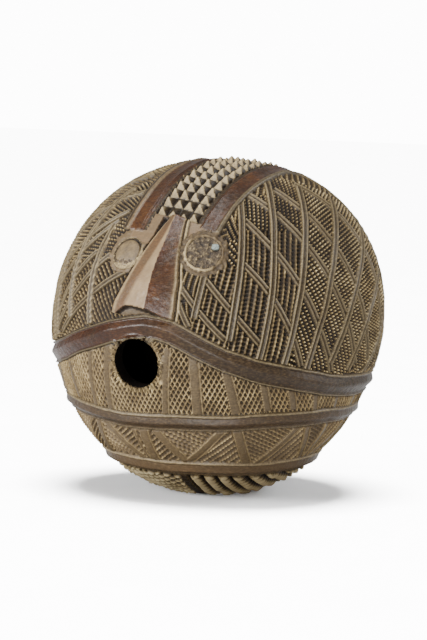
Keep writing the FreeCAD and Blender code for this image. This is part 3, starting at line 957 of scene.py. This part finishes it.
def carved_material():
    """Dusty matt carving, grey-brown worn flats and satin red-brown polish, from the layers of wear and
    painted light, with painted shade in the low ground of the carving.
    """
    n = Nodes("carved_shell_outside")
    lift, flat, polish, edge, tone = (n.attribute(name) for name in ("lift",) + WEAR_AND_PAINTED_LIGHT)
    fine = n.noise(0.9, 4.0, 0.7)
    patch = n.noise(14.0, 3.0, 0.55)
    streak = n.noise(1.4, 3.0, 0.6, (1.0, 1.0, 6.0))
    # Painted shade: the carving's colour runs from near black in its pits to pale on its tops, by height.
    ground = n.math("ADD", lift, n.math("MULTIPLY", n.math("SUBTRACT", fine, 0.5), 0.5))
    field = n.ramp(ground, ((0.02, "#060402"), (0.3, "#20170c"), (0.58, "#4d3f27"), (0.8, "#8f7d57"),
                            (0.98, "#bfae86")))
    dusty = n.mix(n.ramp(patch, ((0.35, 0.0), (0.65, 0.4))), field, "#857657", "OVERLAY")
    plain = n.ramp(n.math("ADD", n.math("MULTIPLY", streak, 0.6), n.math("MULTIPLY", fine, 0.4)),
                   ((0.3, "#150f08"), (0.5, "#2b2115"), (0.72, "#52442e")))
    red = n.ramp(n.math("ADD", n.math("MULTIPLY", streak, 0.55), n.math("MULTIPLY", patch, 0.45)),
                 ((0.32, "#150803"), (0.5, "#381c0a"), (0.7, "#66401d")))
    base = n.mix(flat, dusty, plain)
    rubbed = n.ramp(n.noise(6.0, 4.0, 0.65), ((0.3, 0.45), (0.5, 1.0)))
    base = n.mix(n.math("MULTIPLY", polish, rubbed), base, red)
    # Light worn edges. On the crest the same layer paints the studs' lit front facets.
    wear_and_painted_light = n.math("MULTIPLY", edge, n.ramp(fine, ((0.3, 0.35), (0.6, 1.0))), True)
    base = n.mix(wear_and_painted_light, base, "#a3916c")
    # The tone layer lightens and darkens the colour. It holds dust and colour, and also painted light and
    # shade.
    lighter = n.mix(n.math("MULTIPLY", tone, 0.55, True), base, "#a68d6a")
    base = n.mix(n.math("MULTIPLY", tone, -0.8, True), lighter, "#120c08")
    rough = n.math("SUBTRACT", 0.6, n.math("MULTIPLY", flat, 0.2))
    rough = n.math("SUBTRACT", rough, n.math("MULTIPLY", polish, 0.1))
    rough = n.math("ADD", rough, n.math("MULTIPLY", n.math("SUBTRACT", fine, 0.5), 0.2))
    pores = n.math("ADD", n.math("MULTIPLY", fine, 0.7), n.math("MULTIPLY", n.noise(0.35, 2.0), 0.5))
    n.bump(pores, 0.45, 0.25)
    gloss = n.math("ADD", 0.24, n.math("MULTIPLY", polish, 0.1))
    n.join(gloss, n.shader.inputs["Specular IOR Level"])
    return n.finish(base, rough)


def inside_material():
    """The scraped inside of the shell: matt, and painted near-black brown as the shade inside the hollow
    ball.
    """
    n = Nodes("shell_inside")
    scrape = n.noise(3.0, 4.0, 0.65, (1.0, 1.0, 5.0))
    # Painted shade: near-black colours that keep the hollow and the mouth hole's wall dark.
    base = n.ramp(scrape, ((0.3, "#040201"), (0.55, "#0a0604"), (0.75, "#140d08")))
    n.shader.inputs["Specular IOR Level"].default_value = 0.08
    n.bump(scrape, 0.5, 0.4)
    return n.finish(base, n.ramp(scrape, ((0.3, 0.85), (0.7, 0.6))))


def resin_material():
    """Rough pitted resin, dark in its pits and sandy on its grains."""
    n = Nodes("rough_resin")
    grain = n.noise(0.7, 5.0, 0.75)
    pale = n.math("ADD", n.math("MULTIPLY", grain, 0.75), n.math("MULTIPLY", n.attribute("lift"), 0.3))
    base = n.ramp(pale, ((0.32, "#0d0803"), (0.52, "#3a2d1a"), (0.78, "#9a875f")))
    n.bump(grain, 0.8, 0.35)
    return n.finish(base, n.ramp(grain, ((0.35, 0.9), (0.7, 0.6))))


def disc_material():
    """Smooth tan disc, mottled and worn, darker in its crack."""
    n = Nodes("worn_disc")
    mottle = n.noise(2.4, 4.0, 0.6)
    fine = n.noise(0.5, 3.0, 0.6)
    base = n.ramp(n.math("ADD", n.math("MULTIPLY", mottle, 0.7), n.math("MULTIPLY", fine, 0.3)),
                  ((0.3, "#3a2d1c"), (0.52, "#5a4a2f"), (0.75, "#766443")))
    base = n.mix(n.attribute("crack_darkening"), base, "#2c2016")
    n.bump(fine, 0.3, 0.15)
    return n.finish(base, n.ramp(mottle, ((0.3, 0.6), (0.7, 0.42))))


def chip_material():
    """Pale greenish-white broken chip."""
    n = Nodes("pale_chip")
    vein = n.noise(0.6, 4.0, 0.65)
    n.bump(vein, 0.5, 0.15)
    return n.finish(n.ramp(vein, ((0.3, "#3b423d"), (0.5, "#67706b"), (0.75, "#969d97"))),
                    n.ramp(vein, ((0.3, 0.55), (0.7, 0.3))))


def seed_material():
    """Hard dark seed with fine streaks."""
    n = Nodes("seed_coat")
    streak = n.noise(0.8, 4.0, 0.6, (1.0, 1.0, 3.0))
    n.bump(streak, 0.3, 0.12)
    return n.finish(n.ramp(streak, ((0.3, "#1d120b"), (0.55, "#3d281a"), (0.75, "#654832"))),
                    n.ramp(streak, ((0.3, 0.45), (0.7, 0.3))))


def polar_cap(name, place, low, top, radius_inner, radius_outer, material, shape, crack_darkening=None):
    """A closed disc or ring on the ray through a place; shape gives its top's height over top."""
    ray = unit(*place)
    side, up = side_and_up(ray)
    turns, rings = 144, 20
    angles = np.linspace(0.0, 2.0 * math.pi, turns, endpoint=False)
    around = np.cos(angles)[:, None] * side + np.sin(angles)[:, None] * up
    radius_inner = max(radius_inner, 0.02)
    reach = np.linspace(radius_inner, radius_outer, rings)
    points, layers = [], []
    for distance in reach:
        flat = around * distance
        rise = shape(np.full(turns, distance), angles, flat + ray * top)
        points.append(flat + ray * (top + rise)[:, None])
        layers.append(rise)
    for distance in (radius_outer, radius_inner):
        points.append(around * distance + ray * low)
        layers.append(np.full(turns, -1.0))
    faces = []
    loops = len(points)
    for ring in range(loops):
        following = (ring + 1) % loops
        for k in range(turns):
            n = (k + 1) % turns
            faces.append((ring * turns + k, following * turns + k, following * turns + n, ring * turns + n))
    thing = mesh_object(name, np.vstack(points), faces, [material])
    values = np.concatenate(layers).astype(np.float32)
    thing.data.attributes.new("lift", "FLOAT", "POINT").data.foreach_set("value", values + 0.5)
    # Marks where the disc's colour is darkened along its crack.
    if crack_darkening is not None:
        far = np.concatenate([np.full(turns, d) for d in list(reach) + [radius_outer, radius_inner]])
        marks = crack_darkening(far, np.tile(angles, loops)).astype(np.float32)
        thing.data.attributes.new("crack_darkening", "FLOAT", "POINT").data.foreach_set("value", marks)
    return thing


def resin_top(seed, rough):
    """A rough, pitted top with grains."""
    def shape(distance, angle, position):
        return rough * (lumpy(position, 1.0, seed) + 0.6 * lumpy(position, 0.45, seed + 1)) - 0.1
    return shape


def ring_top(distance, angle, position):
    """The ring's rough top: a deep groove round the disc above, level with it below."""
    above = np.clip(0.5 + 0.9 * np.cos(angle - math.radians(125.0)), 0.0, 1.0)
    groove = above * np.clip((SOCKET_RADIUS - distance) / 0.7, 0.0, 1.0)
    return resin_top(43, 0.2)(distance, angle, position) + 0.55 - 1.1 * groove


def crack(distance, angle):
    """How near a point of the disc is to the jagged crack along its lower edge."""
    down = -distance * np.sin(angle)
    across = distance * np.cos(angle)
    line = 3.3 + 0.35 * np.sin(across * 2.1) + 0.25 * np.sin(across * 5.3 + 1.0)
    return np.exp(-((down - line) / 0.28) ** 2)


def disc_top(distance, angle, position):
    """A gently domed top with rolled edge, broken away below its crack."""
    down = -distance * np.sin(angle)
    rise = 0.9 - 0.35 * (distance / DISC_RADIUS) ** 2 - 0.5 * np.clip(distance - 4.5, 0.0, 1.0)
    rise = rise - 0.6 * crack(distance, angle) - 0.3 * (down > 3.5)
    return rise + 0.05 * lumpy(position, 1.4, 51)


def box_centre(low, high):
    """Middle of a box of the frame, in millimetres about the ball's centre."""
    return np.array((low + high) / 2) / MM - np.array((0.0, 0.0, CENTRE_HEIGHT))


def chip_piece(material):
    """A small broken chip: a bent block with crumbled edges."""
    centre = box_centre(*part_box("eye_chip_right"))
    ray = unit(*RIGHT_EYE)
    side, up = side_and_up(ray)
    steps = 10
    points, index, faces = [], {}, []
    for axis, sign in product(range(3), (-1, 1)):
        for i, j in product(range(steps), repeat=2):
            quad = []
            for a, b in ((i, j), (i + 1, j), (i + 1, j + 1), (i, j + 1)):
                key = [0, 0, 0]
                key[axis] = steps if sign > 0 else 0
                key[(axis + 1) % 3], key[(axis + 2) % 3] = a, b
                key = tuple(key)
                if key not in index:
                    index[key] = len(points)
                    points.append([2.0 * k / steps - 1.0 for k in key])
                quad.append(index[key])
            faces.append(quad if sign > 0 else quad[::-1])
    cube = np.array(points)
    round_off = cube / np.maximum(np.linalg.norm(cube, axis=1), 1e-6)[:, None]
    cube = 0.35 * cube + 0.65 * round_off * 1.15
    local = cube * np.array((1.3, 1.0, 0.7))
    world = centre + local[:, :1] * side + local[:, 1:2] * up + local[:, 2:] * ray
    world += 0.2 * round_off * lumpy(world, 0.7, 61)[:, None]
    return mesh_object("eye_chip", world, faces, [material])


def seed_piece(number, material):
    """One seed: slightly long, with a shallow scar at one end and a seam round it."""
    node = "seed_%02d" % number
    low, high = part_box(node)
    centre = box_centre(low, high)
    radius = (high.z - low.z) / 2 / MM
    rng = np.random.default_rng(100 + number)
    turn = np.linalg.qr(rng.normal(size=(3, 3)))[0]
    count = 12
    points, faces = [], []
    for name in TILES:
        base = len(points)
        points.extend(tile_ways(name, count))
        faces.extend((grid_faces(count) + base).tolist())
    way = np.round(np.array(points), 9)
    way, back = np.unique(way, axis=0, return_inverse=True)
    faces = [[int(back.ravel()[v]) for v in face] for face in faces]
    local = way * radius * np.array((0.93, 0.93, 0.99))
    scar = np.exp(-((1.0 - way[:, 2]) / 0.06) ** 2)
    seam = np.exp(-(way[:, 0] / 0.06) ** 2)
    shrink = 1.0 - 0.12 * scar - 0.02 * seam + 0.02 * lumpy(way * 3.0 + number, 0.8, 71)
    local = local * np.minimum(shrink, 1.0)[:, None]
    return mesh_object(node + "_looks", centre + local @ turn.T, faces, [material])


# The object's pieces.
outside, inside = carved_material(), inside_material()
for tile_name in TILES:
    tile = shell_tile(tile_name, [outside, inside])
    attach(tile, "shell")
    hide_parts("carved_shell")

resin = resin_material()
ring = polar_cap("eye_ring", LEFT_EYE, SOCKET_FLOOR, RING_TOP, RING_HOLE, SOCKET_RADIUS, resin, ring_top)
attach(ring, "shell")
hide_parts("eye_resin_left")
inlay = disc_material()
disc = polar_cap("eye_disc", LEFT_EYE, DISC_SEAT, DISC_TOP, 0.0, DISC_RADIUS, inlay, disc_top, crack)
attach(disc, "shell")
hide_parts("eye_disc_left")
plug_top = resin_top(46, PLUG_ROUGHNESS)
plug = polar_cap("eye_plug", RIGHT_EYE, SOCKET_FLOOR, PLUG_TOP, 0.0, SOCKET_RADIUS, resin, plug_top)
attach(plug, "shell")
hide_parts("eye_resin_right")
chip = chip_piece(chip_material())
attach(chip, "shell")
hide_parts("eye_chip_right")

coat = seed_material()
for seed_number in range(1, 20):
    node_name = "seed_%02d" % seed_number
    seed = seed_piece(seed_number, coat)
    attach(seed, node_name)
    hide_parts(node_name)


# Stage: floor, light and camera.
ROOM_LIGHT = 0.4
ROOM_WHITE = 13.0
FLOOR_SUN = 38.0
FLOOR_SUN_ANGLE = 30.0
FLOOR_REACH = 6.0
FLOOR_LEVEL = -0.0001
# Each light's azimuth and elevation in degrees, distance and size in metres, and power in watts.
LAMPS = {
    "key": (-32.0, 18.0, 1.1, 0.35, 21.5),
    "top": (20.0, 72.0, 1.2, 0.5, 12.5),
    "low": (20.0, 3.0, 1.4, 0.2, 18.0),
    "rim": (125.0, 28.0, 0.9, 0.35, 5.0),
}
# The camera's azimuth, elevation and roll in degrees, distance in metres, and lens and sensor in millimetres.
CAMERA_WAY = (27.2, 4.67)
CAMERA_ROLL = 1.72
CAMERA_DISTANCE = 1.1
CAMERA_LENS = 170.0
CAMERA_SENSOR = 36.0
CAMERA_SHIFT = (-0.0057, 0.0081)


def floor():
    """A wide pale matt floor, darker as a light on the object than it looks."""
    n = Nodes("pale_floor")
    n.shader.inputs["Specular IOR Level"].default_value = 0.0
    n.shader.inputs["IOR"].default_value = 1.0
    speckle = n.noise(40.0, 2.0)
    pale = n.ramp(speckle, ((0.3, "#f0f0f0"), (0.7, "#f4f4f4")))
    seen = n.add("ShaderNodeLightPath").outputs["Is Camera Ray"]
    material = n.finish(n.mix(seen, "#585858", pale), 0.5)
    mesh = bpy.data.meshes.new("floor")
    corners = [(x, y, FLOOR_LEVEL) for x, y in product((-FLOOR_REACH, FLOOR_REACH), repeat=2)]
    mesh.from_pydata(corners, [], [(0, 2, 3, 1)])
    mesh.materials.append(material)
    plane = bpy.data.objects.new("floor", mesh)
    bpy.context.scene.collection.objects.link(plane)
    return plane


def lamp(name, azimuth, elevation, distance, size, power):
    """A square soft light that looks at the ball's middle."""
    light = bpy.data.lights.new(name, "AREA")
    light.shape = "SQUARE"
    light.size = size
    light.energy = power
    back = Vector(unit(azimuth, elevation))
    thing = bpy.data.objects.new(name, light)
    thing.location = Vector((0.0, 0.0, CENTRE_HEIGHT * MM)) + back * distance
    thing.rotation_mode = "QUATERNION"
    thing.rotation_quaternion = (-back).to_track_quat("-Z", "Y")
    bpy.context.scene.collection.objects.link(thing)


def floor_sun(plane):
    """A wide soft sun straight above that lights the floor alone and so gives it an even white."""
    light = bpy.data.lights.new("floor_sun", "SUN")
    light.energy = FLOOR_SUN
    light.angle = math.radians(FLOOR_SUN_ANGLE)
    thing = bpy.data.objects.new("floor_sun", light)
    thing.location = (0.0, 0.0, 2.0)
    bpy.context.scene.collection.objects.link(thing)
    lit = bpy.data.collections.new("lit_by_the_floor_sun")
    lit.objects.link(plane)
    thing.light_linking.receiver_collection = lit


def studio_world():
    """An even white room: full white behind the object, and softer as a light on it."""
    world = bpy.data.worlds.new("studio")
    world.use_nodes = True
    tree = world.node_tree
    background = tree.nodes["Background"]
    background.inputs["Color"].default_value = (1.0, 1.0, 1.0, 1.0)
    path = tree.nodes.new("ShaderNodeLightPath")
    power = tree.nodes.new("ShaderNodeMapRange")
    power.inputs["To Min"].default_value = ROOM_LIGHT
    power.inputs["To Max"].default_value = ROOM_WHITE
    tree.links.new(path.outputs["Is Camera Ray"], power.inputs["Value"])
    tree.links.new(power.outputs["Result"], background.inputs["Strength"])
    bpy.context.scene.world = world


def camera():
    """The camera: in front, to the right of the face, a little above."""
    azimuth, roll = math.radians(CAMERA_WAY[0]), math.radians(CAMERA_ROLL)
    back = Vector(unit(*CAMERA_WAY))
    right = Vector((math.cos(azimuth), math.sin(azimuth), 0.0))
    up = back.cross(right)
    rolled_right = right * math.cos(roll) + up * math.sin(roll)
    rolled_up = up * math.cos(roll) - right * math.sin(roll)
    data = bpy.data.cameras.new("camera")
    data.sensor_width = CAMERA_SENSOR
    data.lens = CAMERA_LENS
    data.shift_x, data.shift_y = CAMERA_SHIFT
    thing = bpy.data.objects.new("camera", data)
    thing.rotation_mode = "QUATERNION"
    thing.rotation_quaternion = Matrix((rolled_right, rolled_up, back)).transposed().to_quaternion()
    thing.location = Vector((0.0, 0.0, CENTRE_HEIGHT * MM)) + back * CAMERA_DISTANCE
    bpy.context.scene.collection.objects.link(thing)
    bpy.context.scene.camera = thing


ground = floor()
for lamp_name, values in LAMPS.items():
    lamp(lamp_name, *values)
floor_sun(ground)
studio_world()
camera()
